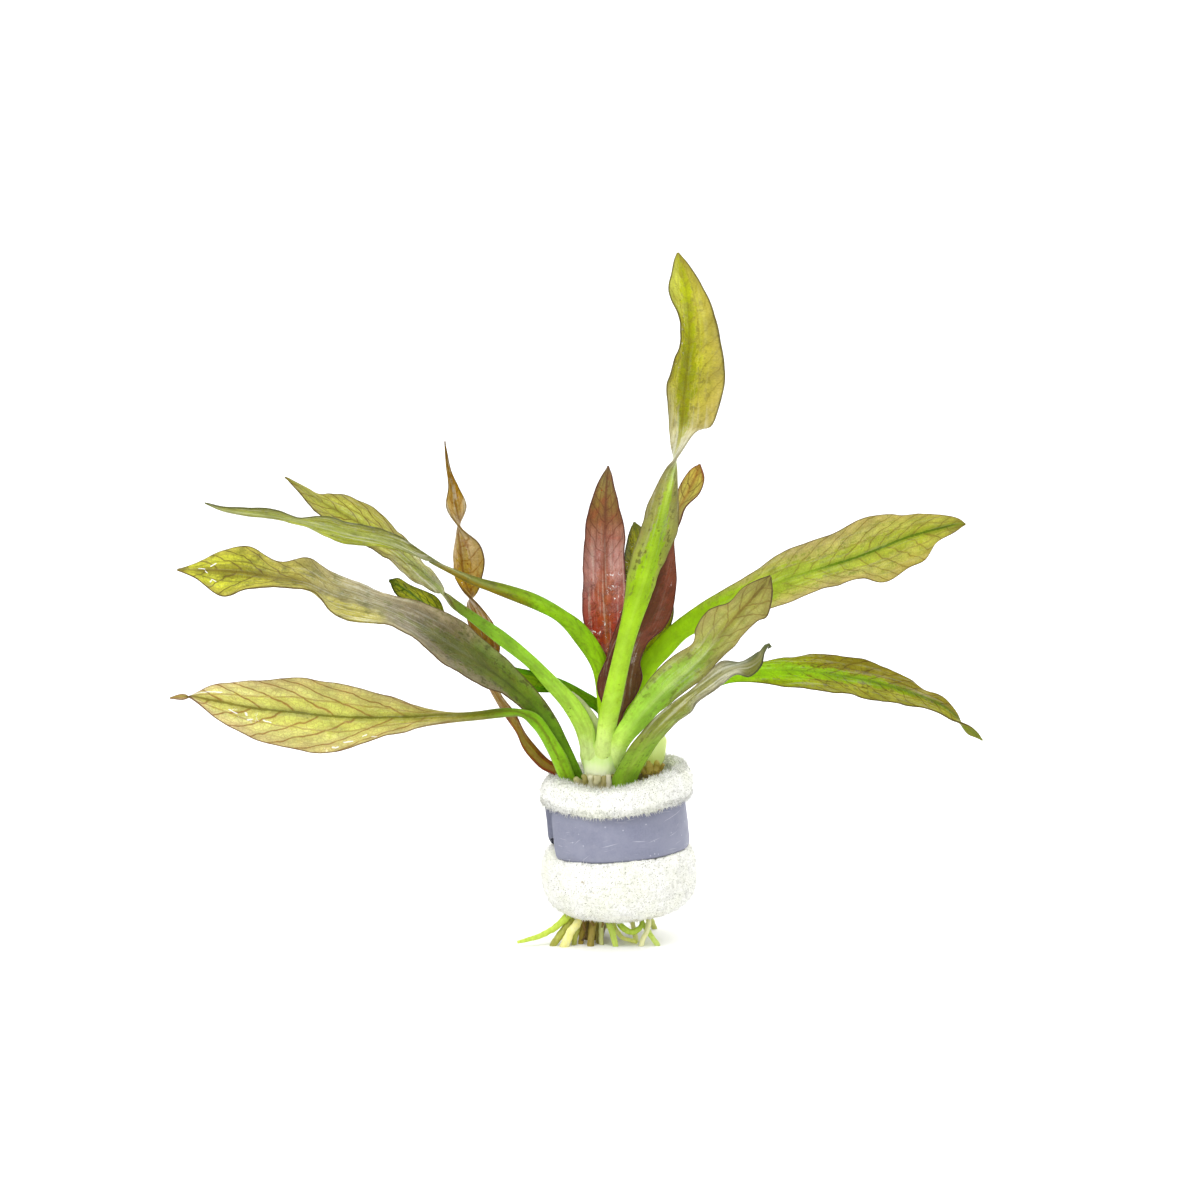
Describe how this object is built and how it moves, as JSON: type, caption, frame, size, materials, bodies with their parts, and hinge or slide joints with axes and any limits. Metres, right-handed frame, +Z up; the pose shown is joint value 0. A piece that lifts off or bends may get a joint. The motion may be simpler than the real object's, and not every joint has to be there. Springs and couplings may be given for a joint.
{
  "type": "echinodorus plant in a foam sleeve",
  "caption": "Bare-root aquarium sword plant: long twisting red-green leaves on pale stalks rising from a rolled white foam sleeve tied with a soft grey metal strip, with trimmed roots below.",
  "frame": {"origin": "centre of the root stock's flat trimmed foot, on the surface it stands on", "axes": "+Z up along the plant, +X to the viewer's right across the widest spread of leaves, +Y away from the viewer"},
  "size_m": [0.1793, 0.0824, 0.1536],
  "materials": {
    "leaf_left_low": "satin",
    "leaf_left_wavy": "satin",
    "leaf_left_pale": "satin",
    "leaf_left_high": "satin",
    "leaf_left_short": "satin",
    "leaf_ochre": "satin",
    "leaf_red": "satin",
    "leaf_dark_red": "satin",
    "leaf_dark": "satin",
    "leaf_tallest": "satin",
    "leaf_right": "satin",
    "leaf_yellow": "satin",
    "crown": "satin",
    "root_stock": "matte",
    "roots": "satin",
    "strip": "matte",
    "foam": "matte"
  },
  "bodies": {
    "root": {"root_stock": "root_stock", "crown_main": "crown", "crown_right": "crown", "crown_sheath": "crown", "leaf_tallest": "leaf_tallest", "leaf_right_front": "leaf_right", "leaf_left_high": "leaf_left_high", "leaf_right_low": "leaf_right", "leaf_left_low": "leaf_left_low", "leaf_left_wavy": "leaf_left_wavy", "leaf_left_pale": "leaf_left_pale", "leaf_red_right": "leaf_dark_red", "leaf_right_high": "leaf_yellow", "leaf_red_centre": "leaf_red", "leaf_dark_centre": "leaf_dark", "leaf_left_short": "leaf_left_short", "leaf_ochre_spiral": "leaf_ochre", "leaf_right_long": "leaf_yellow", "root_left_long": "roots", "root_left_olive": "roots", "root_left_cream": "roots", "root_thin_olive": "roots", "root_brown_stub": "roots", "root_front_brown": "roots", "root_middle_thin": "roots", "root_light_green": "roots", "root_green_loop": "roots", "root_middle_broad": "roots", "root_right_lying": "roots", "root_right_cream": "roots", "root_right_green": "roots", "root_right_pale": "roots", "root_back_left": "roots", "root_back_middle": "roots", "root_back_right": "roots", "lead_strip": "strip", "foam_sleeve": "foam"}
  },
  "joints": []
}
